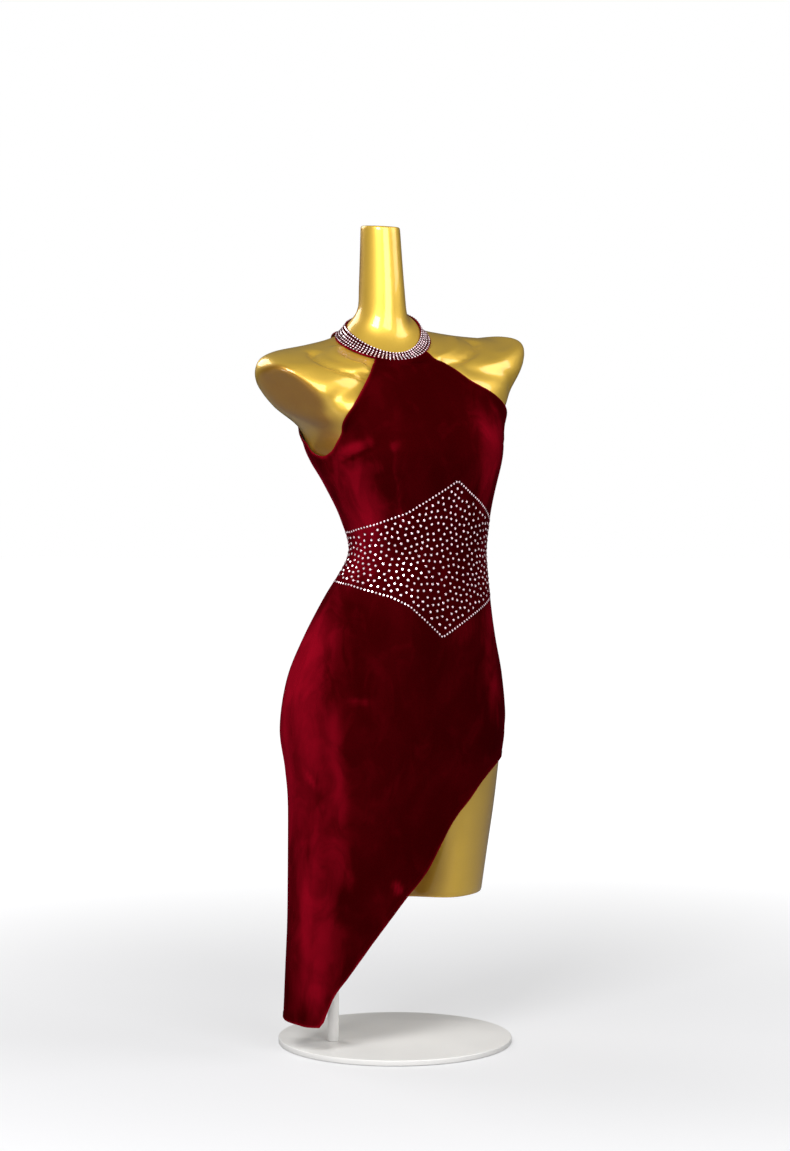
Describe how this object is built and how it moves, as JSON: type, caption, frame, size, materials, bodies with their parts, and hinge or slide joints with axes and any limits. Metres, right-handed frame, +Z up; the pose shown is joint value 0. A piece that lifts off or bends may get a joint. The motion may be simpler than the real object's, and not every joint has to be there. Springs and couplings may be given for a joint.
{
  "type": "latin dance dress on a dress form",
  "caption": "Fitted velvet latin dance dress with a halter neck, stone-set collar and waist motif and a slanted skirt, on a limbless gloss display form with a round stand.",
  "frame": {"origin": "centre of the stand plate's underside, on the floor", "axes": "+Z up, the chest faces -Y, the wearer's left is +X"},
  "size_m": [0.4329, 0.33, 1.154],
  "materials": {
    "velvet": "wine red stretch velvet with a soft nap",
    "rhinestones": "clear foil-backed flat-back stones",
    "gold_lacquer": "gloss gold lacquer on a moulded shell",
    "white_enamel": "satin white powder coat on steel",
    "hook_steel": "nickelled wire and plate"
  },
  "bodies": {
    "root": {"dress_front": "velvet", "dress_back_left": "velvet", "dress_back_right": "velvet", "collar_band": "rhinestones", "collar_hook": "hook_steel", "dress_form": "gold_lacquer", "stand_base": "white_enamel", "stand_pole": "white_enamel", "stand_socket": "white_enamel"}
  },
  "joints": []
}
